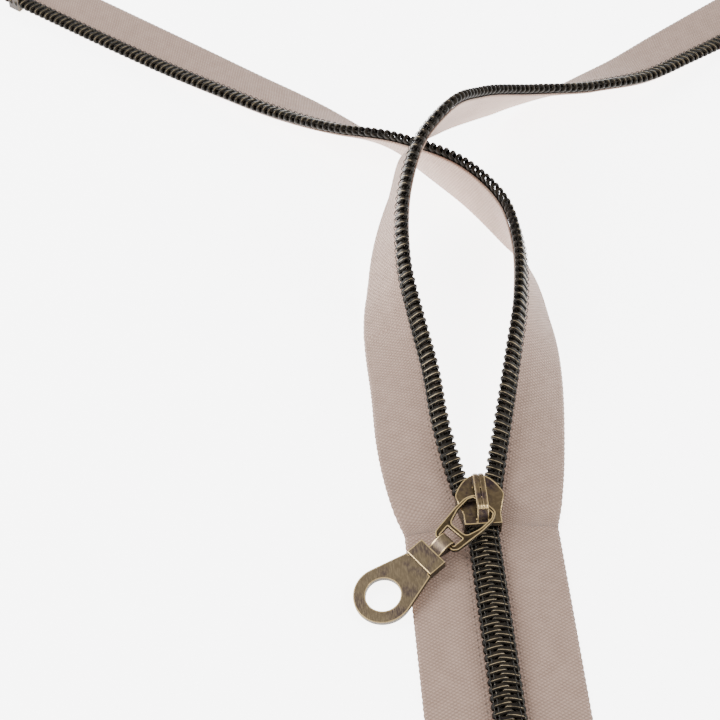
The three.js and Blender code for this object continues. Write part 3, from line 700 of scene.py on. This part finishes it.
def stitch(pitch):
    """One stitch: thread that rises over a leg and dips into the gaps beside it."""
    along = np.linspace(-STITCH_REACH, STITCH_REACH, STITCH_RINGS) * pitch
    dip = STITCH_DIP * (1 - np.cos(2 * math.pi * along / pitch)) / 2
    centres = np.stack([along, np.zeros(STITCH_RINGS), THREAD_RADIUS - dip], axis=1)
    upright = np.tile([0.0, 1.0, 0.0], (STITCH_RINGS, 1))
    radii = np.tile([THREAD_OVAL * THREAD_RADIUS, THREAD_RADIUS], (STITCH_RINGS, 1))
    points, faces = tube(centres, THREAD_SIDES, radii, upright)
    obj = new_object("stitch", points * MM, faces)
    outward(obj)
    return obj


def core_cord(half):
    """The stranded cord that the coil is wound round, flattened by its sewing."""
    distances = np.arange(half.coil_start, half.coil_end, CORD_STEP)
    stations = half.stations(distances)
    centres = place(stations, np.array([[CORD_ACROSS]]), CORD_UP)[:, 0, :]
    radii = np.tile([CORD_HALF_WIDTH, CORD_HALF_HEIGHT], (len(centres), 1))
    points, faces = tube(centres, CORD_SIDES, radii, stations["across"])
    rings = points.reshape(len(centres), CORD_SIDES, 3)
    around = np.linspace(0, 2 * math.pi, CORD_SIDES, endpoint=False)
    turn = 2 * math.pi * distances / CORD_LAY
    swell = 1 + STRAND_SWELL * np.cos(STRANDS * (around[None, :] - turn[:, None]))
    rings = centres[:, None, :] + (rings - centres[:, None, :]) * swell[..., None]
    obj = new_object(f"{half.name}_laid_cord", rings.reshape(-1, 3) * MM, faces)
    outward(obj)
    return obj


# ---- Metal ---------------------------------------------------------------------------------------------
SHARP = math.radians(32)
FLAT_JOIN = math.radians(0.5)  # faces that meet flatter than this become one
FLAT_ENOUGH = 0.7  # a face starts to get painted wall shade below this cosine of its lean
MOST_CUTS = 9
WELD = 0.002  # lengths from here on are in millimetres
FINE_EDGE = 0.3
SLIVER = 0.0005
WEAR_REACH = 0.5
FAR_OFF = 1000.0
LINK_UP = (-0.119836, -0.100554, 0.987688)  # the upward normals of the tilted link and pull, from which their painted wall shade is measured
PULL_UP = (-0.135164, -0.111668, 0.984510)


def split_finely(work, longest):
    """Cuts every triangle until no edge is longer than longest."""
    bmesh.ops.triangulate(work, faces=work.faces)
    for _ in range(MOST_CUTS):
        long = [e for e in work.edges if e.calc_length() > longest]
        if not long:
            break
        bmesh.ops.subdivide_edges(work, edges=long, cuts=1)
        bmesh.ops.triangulate(work, faces=[f for f in work.faces if len(f.verts) > 3])


def distance_to_edges(points, starts, ends):
    """The distance from each point to the nearest of some straight edges."""
    best = np.full(len(points), FAR_OFF * MM)
    for start, end in zip(starts, ends):
        run = end - start
        share = np.clip((points - start) @ run / (run @ run), 0, 1)
        best = np.minimum(best, np.linalg.norm(points - start - share[:, None] * run, axis=1))
    return best


def refined(node, name, material, round_mm, body, up=(0, 0, 1), wear_and_highlight=()):
    """A CAD metal part with eased edges, with how worn it is at each place and a painted-shade weight for
    faces that lean away from upright.
    """
    mesh = bpy.data.meshes.new(name)
    work = bmesh.new()
    work.from_mesh(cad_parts[node].data)
    wall_shade_layer = work.faces.layers.float.new("side")
    bmesh.ops.remove_doubles(work, verts=work.verts, dist=WELD * MM)
    bmesh.ops.dissolve_limit(work, angle_limit=FLAT_JOIN, verts=work.verts, edges=work.edges)
    # Painted shade weight: the more a face leans away from up, the darker the brass finish paints it.
    for face in work.faces:
        face[wall_shade_layer] = 1.0 - min(1.0, abs(face.normal.dot(Vector(up))) / FLAT_ENOUGH)
    edges = [e for e in work.edges if e.calc_face_angle(0.0) > SHARP and e.is_convex]
    starts = np.array([e.verts[0].co for e in edges] + [Vector(start) * MM for start, _ in wear_and_highlight])
    ends = np.array([e.verts[1].co for e in edges] + [Vector(end) * MM for _, end in wear_and_highlight])
    bmesh.ops.bevel(
        work,
        geom=edges,
        offset=round_mm * MM,
        segments=2,
        profile=0.6,
        affect="EDGES",
        clamp_overlap=True,
    )
    split_finely(work, FINE_EDGE * MM)
    for face in work.faces:
        face.smooth = True
    for edge in work.edges:
        edge.smooth = edge.calc_face_angle(0.0) < SHARP
    bmesh.ops.dissolve_degenerate(work, edges=work.edges, dist=SLIVER * MM)
    bmesh.ops.triangulate(work, faces=[f for f in work.faces if len(f.verts) > 3])
    work.to_mesh(mesh)
    work.free()
    mesh.validate()
    points = np.zeros(len(mesh.vertices) * 3, np.float32)
    mesh.vertices.foreach_get("co", points)
    reach = distance_to_edges(points.reshape(-1, 3), starts, ends)
    give_values(mesh, "wear", np.clip(1 - reach / (WEAR_REACH * MM), 0, 1))
    mesh.materials.append(material)
    obj = bpy.data.objects.new(name, mesh)
    bpy.context.scene.collection.objects.link(obj)
    finish_piece(obj, body, [node])


# The rubbed line across the bridge's rear, in millimetres.
BRIDGE_LIP = [((-1.1, -3.3, 7.2), (1.1, -3.3, 7.2))]
RIDGE_ACROSS = 0.52
RIDGE_HALF = 0.44
RIDGE_HEIGHT = 0.12
RIDGE_SIDES = 12
RIDGE_FRONT, RIDGE_REAR = 0.55, 0.8  # the ridge's size at its two ends, as a share of its middle
RIDGE_WEAR = 0.42
WORN_RINGS = 2  # how many rings at the rear end are worn bright
# The bridge's back line from the crown over the top to its rear edge, as (y, z) in millimetres.
BRIDGE_BACK = [
    (5.8, 5.0),
    (5.55, 5.6),
    (5.0, 6.6),
    (4.3, 7.2),
    (3.5, 7.43),
    (2.6, 7.45),
    (0.5, 7.45),
    (-1.5, 7.45),
    (-2.6, 7.45),
    (-3.15, 7.33),
    (-3.45, 7.05),
]


def bridge_ridge(side, material):
    """One of the two rounded ribs that run along the bridge's back."""
    line = np.array(BRIDGE_BACK)
    centres = np.stack([np.full(len(line), side * RIDGE_ACROSS), line[:, 0], line[:, 1]], axis=1)
    upright = np.tile([1.0, 0.0, 0.0], (len(line), 1))
    size = np.array([RIDGE_FRONT] + [1.0] * (len(line) - 2) + [RIDGE_REAR])
    radii = np.stack([RIDGE_HALF * size, RIDGE_HEIGHT * size], axis=1)
    points, faces = tube(centres, RIDGE_SIDES, radii, upright)
    name = "bridge_ridge_right" if side > 0 else "bridge_ridge_left"
    obj = new_object(name, points * MM, faces)
    outward(obj)
    wear = np.full((len(line), RIDGE_SIDES), RIDGE_WEAR)
    wear[-WORN_RINGS:] = 1.0
    give_values(obj.data, "wear", wear)
    obj.data.materials.append(material)
    finish_piece(obj, "slider", [])


# ---- Settings and operators -----------------------------------------------------------------------------
class ZipperSettings(bpy.types.PropertyGroup):
    """Sizes that the zipper's looks are built to."""

    pitch: FloatProperty(
        name="Coil pitch",
        description="Distance from one turn of a coil to the next",
        default=COIL_PITCH * MM,
        unit="LENGTH",
    )
    row_step: FloatProperty(
        name="Tape row step",
        description="Distance between rows of the tape's mesh",
        default=0.4 * MM,
        unit="LENGTH",
    )
    scallop: FloatProperty(
        name="Selvedge scallop",
        description="How far the woven edge waves in and out",
        default=0.07 * MM,
        unit="LENGTH",
    )
    edge_round: FloatProperty(
        name="Edge rounding",
        description="Width of the worn rounding on the metal's edges",
        default=0.17 * MM,
        unit="LENGTH",
    )
    tape_columns: IntProperty(
        name="Tape columns",
        description="Number of mesh columns across a tape",
        default=26,
        min=8,
    )


SCALLOP_START = 0.93  # the share of the tape's width at which its woven edge starts to wave
SCALLOP_LENGTH = 1.25  # millimetres from one wave to the next
THIN_SHARE = 0.015  # the share of the width, at either side, that is thinned
THINNED = 0.55


class ZIPPER_OT_tapes(bpy.types.Operator):
    """Weave the two tapes along their routes"""

    bl_idname = "zipper.tapes"
    bl_label = "Tapes"

    def execute(self, context):
        """Builds both tapes as sheets."""
        settings = context.scene.zipper
        material = cloth_finish()
        for half in HALVES:
            obj = self.tape(half, settings, material)
            finish_piece(obj, "chain", [f"{half.name}_tape"])
        return {"FINISHED"}

    def tape(self, half, settings, material):
        """One closed ribbon: its face, its back and a rounded edge on either side."""
        distances = np.arange(0, half.tape_end, settings.row_step / MM)
        stations = half.stations(distances)
        steps = np.linalg.norm(np.diff(stations["centre"], axis=0), axis=1)
        run = np.concatenate([[0], np.cumsum(steps)])
        self.length = float(run[-1]) * MM
        share = np.linspace(0, 1, settings.tape_columns)
        edge = smooth_step(share, SCALLOP_START, 1.0)[None, :]
        wave = settings.scallop / MM * np.sin(2 * math.pi * run / SCALLOP_LENGTH)[:, None]
        across = TAPE_INNER + (TAPE_OUTER - TAPE_INNER) * share[None, :] + edge * wave
        within = (share > THIN_SHARE) & (share < 1 - THIN_SHARE)
        half_thickness = TAPE_THICKNESS / 2 * np.where(within, 1.0, THINNED)[None, :]
        face = place(stations, across, half_thickness)
        back = place(stations, across, -half_thickness)
        rows, columns = across.shape
        count = rows * columns
        points = np.vstack([face.reshape(-1, 3), back.reshape(-1, 3)]) * MM
        runs = np.broadcast_to(run[:, None], across.shape)
        uv = np.stack([across, runs], axis=-1).reshape(-1, 2)
        faces = []
        for row in range(rows - 1):
            for column in range(columns - 1):
                a = row * columns + column
                faces.append((a, a + 1, a + columns + 1, a + columns))
                faces.append((count + a, count + a + columns, count + a + columns + 1, count + a + 1))
            for a, flip in ((row * columns, False), (row * columns + columns - 1, True)):
                wall = (a, a + columns, count + a + columns, count + a)
                faces.append(wall[::-1] if flip else wall)
        last = (rows - 1) * columns
        for column in range(columns - 1):
            faces.append((column, count + column, count + column + 1, column + 1))
            a = last + column
            faces.append((a, a + 1, count + a + 1, count + a))
        obj = new_object(f"{half.name}_woven_tape", points, faces, np.vstack([uv, uv]))
        outward(obj)
        obj.data.materials.append(material)
        return obj


class ZIPPER_OT_coils(bpy.types.Operator):
    """Wind the two nylon coils"""

    bl_idname = "zipper.coils"
    bl_label = "Coils"

    def execute(self, context):
        """Lays turns along each spine, the right half a half pitch on so that the heads mesh."""
        pitch = context.scene.zipper.pitch
        material = nylon_finish()
        for half in HALVES:
            offset = 0.0 if half.side < 0 else pitch / MM / 2
            line = spine_line(half, f"{half.name}_coil_turns", offset, 0.0, 0.0)
            lay(line, coil_turn(half.side, pitch / MM), material, pitch)
            finish_piece(line, "chain", [f"{half.name}_coil"])
        return {"FINISHED"}


class ZIPPER_OT_stitching(bpy.types.Operator):
    """Sew the coils down and lay their core cords"""

    bl_idname = "zipper.stitching"
    bl_label = "Stitching"

    def execute(self, context):
        """Lays two rows of stitches over each coil's legs and a cord inside it."""
        pitch = context.scene.zipper.pitch
        material = thread_finish()
        cord = cord_finish()
        for half in HALVES:
            for row, across in (("inner", INNER_ROW), ("outer", OUTER_ROW)):
                lean = (across + SPINE_X + HEAD_REACH) / (COIL_OUTER + SPINE_X + HEAD_REACH)
                height = COIL_TOP - LEG_DROP * lean
                offset = pitch / MM / 2 if half.side < 0 else pitch / MM
                line = spine_line(half, f"{half.name}_{row}_stitches", offset, across, height)
                lay(line, stitch(pitch / MM), material, pitch)
                finish_piece(line, "chain", [f"{half.name}_{row}_stitching"])
            obj = core_cord(half)
            obj.data.materials.append(cord)
            finish_piece(obj, "chain", [f"{half.name}_core_cord"])
        return {"FINISHED"}


class ZIPPER_OT_slider(bpy.types.Operator):
    """Finish the slider and the stops"""

    bl_idname = "zipper.slider"
    bl_label = "Slider and stops"

    def execute(self, context):
        """Rounds the slider's edges and lays its two ridges; rounds the three stops."""
        edge = context.scene.zipper.edge_round / MM
        material = brass_finish("slider_brass", *SLIDER_BRASS)
        refined("slider_body", "slider_casting", material, edge, "slider", wear_and_highlight=BRIDGE_LIP)
        for side in (-1, 1):
            bridge_ridge(side, material)
        for node in ("left_top_stop", "right_top_stop", "bottom_stop"):
            refined(node, f"{node}_metal", material, edge / 2, "chain")
        return {"FINISHED"}


PLATE_SOFTER = 1.3  # how much rounder the plate's edges are than the rest


class ZIPPER_OT_pull(bpy.types.Operator):
    """Finish the link and the pull"""

    bl_idname = "zipper.pull"
    bl_label = "Link and pull"

    def execute(self, context):
        """Rounds the edges of the link, bail, collar and pull plate."""
        edge = context.scene.zipper.edge_round / MM
        link_brass = brass_finish("link_brass", *LINK_BRASS)
        plate_brass = brass_finish("pull_brass", *PULL_BRASS)
        refined("pull_link", "link_frame", link_brass, edge, "link", LINK_UP)
        refined("pull_bail", "bail_strap", plate_brass, edge, "pull", PULL_UP)
        refined("pull_collar", "collar_block", plate_brass, edge, "pull", PULL_UP)
        refined("pull_tab", "pull_plate", plate_brass, PLATE_SOFTER * edge, "pull", PULL_UP)
        return {"FINISHED"}


# ---- The stage, in metres and watts --------------------------------------------------------------
CAMERA_PLACE = (-0.0358, -0.1754, 0.2622)
CAMERA_AIM = (0.0466, 0.6344, -0.7716)
CAMERA_LENS = 82.0  # millimetres, as is the sensor
SENSOR_WIDTH = 36.0
NEAREST = 0.01
LIGHT_AIM = (0.0, 0.04, 0.0)
KEY_LIGHT = ((-0.62, 0.16, 0.5), 0.5, 8.5)  # place, size and power
FILL_LIGHT = ((0.7, 0.05, 0.5), 0.6, 6.0)
SKY_STRENGTH = 0.95
TABLE_HALF = 3.0
TABLE_LEVEL = -0.00002
TABLE_GLOW = 5.5
TABLE_CLOUD_SCALE = 2.0
TABLE_GREY = (0.93, 0.93, 0.935)
TABLE_WHITE = (0.95, 0.95, 0.955)


class ZIPPER_OT_stage(bpy.types.Operator):
    """Set the pale table, the soft lights and the camera"""

    bl_idname = "zipper.stage"
    bl_label = "Stage"

    def execute(self, context):
        """Builds everything that is not the zipper."""
        self.table()
        self.light("key", *KEY_LIGHT)
        self.light("fill", *FILL_LIGHT)
        self.sky(context.scene)
        self.camera(context.scene)
        return {"FINISHED"}

    def table(self):
        """A plain pale table top."""
        signs = ((-1, -1), (1, -1), (1, 1), (-1, 1))
        corners = [(x * TABLE_HALF, y * TABLE_HALF, TABLE_LEVEL) for x, y in signs]
        table = new_object("table_top", corners, [(0, 1, 2, 3)])
        finish = Finish("pale_table")
        clouds = finish.noise(finish.coordinates("Object"), TABLE_CLOUD_SCALE)
        finish.set("Base Color", clouds.mix(TABLE_GREY, TABLE_WHITE))
        finish.set("Roughness", 0.7)
        finish.set("Specular IOR Level", 0.2)
        finish.set("Emission Color", (1.0, 1.0, 1.0))
        finish.set("Emission Strength", TABLE_GLOW)
        table.data.materials.append(finish.material)

    def light(self, name, place_at, size, power):
        """A square soft light aimed at the slider."""
        data = bpy.data.lights.new(name, "AREA")
        data.size = size
        data.energy = power
        lamp = bpy.data.objects.new(name, data)
        bpy.context.scene.collection.objects.link(lamp)
        lamp.matrix_world = looking(place_at, Vector(LIGHT_AIM) - Vector(place_at))

    def sky(self, scene):
        """An even pale surround."""
        world = bpy.data.worlds.new("studio")
        scene.world = world
        world.use_nodes = True
        background = world.node_tree.nodes["Background"]
        background.inputs["Color"].default_value = (1.0, 1.0, 1.0, 1)
        background.inputs["Strength"].default_value = SKY_STRENGTH

    def camera(self, scene):
        """The camera that looks down the chain from its closed end."""
        data = bpy.data.cameras.new("camera")
        data.lens = CAMERA_LENS
        data.sensor_width = SENSOR_WIDTH
        data.clip_start = NEAREST
        camera = bpy.data.objects.new("camera", data)
        scene.collection.objects.link(camera)
        camera.matrix_world = looking(CAMERA_PLACE, CAMERA_AIM)
        scene.camera = camera


def looking(place_at, direction):
    """The matrix of a lamp or camera at a place, turned to look in a direction."""
    turn = Vector(direction).to_track_quat("-Z", "Y").to_matrix().to_4x4()
    return Matrix.Translation(place_at) @ turn


# ---- The panel and the steps --------------------------------------------------------------------
class ZIPPER_PT_panel(bpy.types.Panel):
    """Sizes and build steps of the zipper's looks"""

    bl_idname = "ZIPPER_PT_panel"
    bl_label = "Coil zipper"
    bl_space_type = "VIEW_3D"
    bl_region_type = "UI"
    bl_category = "Zipper"

    def draw(self, context):
        """Lists the settings, then one button for each step."""
        for name in ZipperSettings.__annotations__:
            self.layout.prop(context.scene.zipper, name)
        for operator in STEPS:
            self.layout.operator(operator.bl_idname)


STEPS = (
    ZIPPER_OT_stage,
    ZIPPER_OT_tapes,
    ZIPPER_OT_coils,
    ZIPPER_OT_stitching,
    ZIPPER_OT_slider,
    ZIPPER_OT_pull,
)
CLASSES = (ZipperSettings, *STEPS, ZIPPER_PT_panel)


def register():
    """Adds the settings, the steps and the panel."""
    for cls in CLASSES:
        bpy.utils.register_class(cls)
    bpy.types.Scene.zipper = PointerProperty(type=ZipperSettings)


def unregister():
    """Takes them away again."""
    del bpy.types.Scene.zipper
    for cls in reversed(CLASSES):
        bpy.utils.unregister_class(cls)


def main():
    """Builds every piece in order."""
    register()
    bpy.ops.zipper.stage()
    bpy.ops.zipper.tapes()
    bpy.ops.zipper.coils()
    bpy.ops.zipper.stitching()
    bpy.ops.zipper.slider()
    bpy.ops.zipper.pull()


if __name__ == "__main__":
    main()
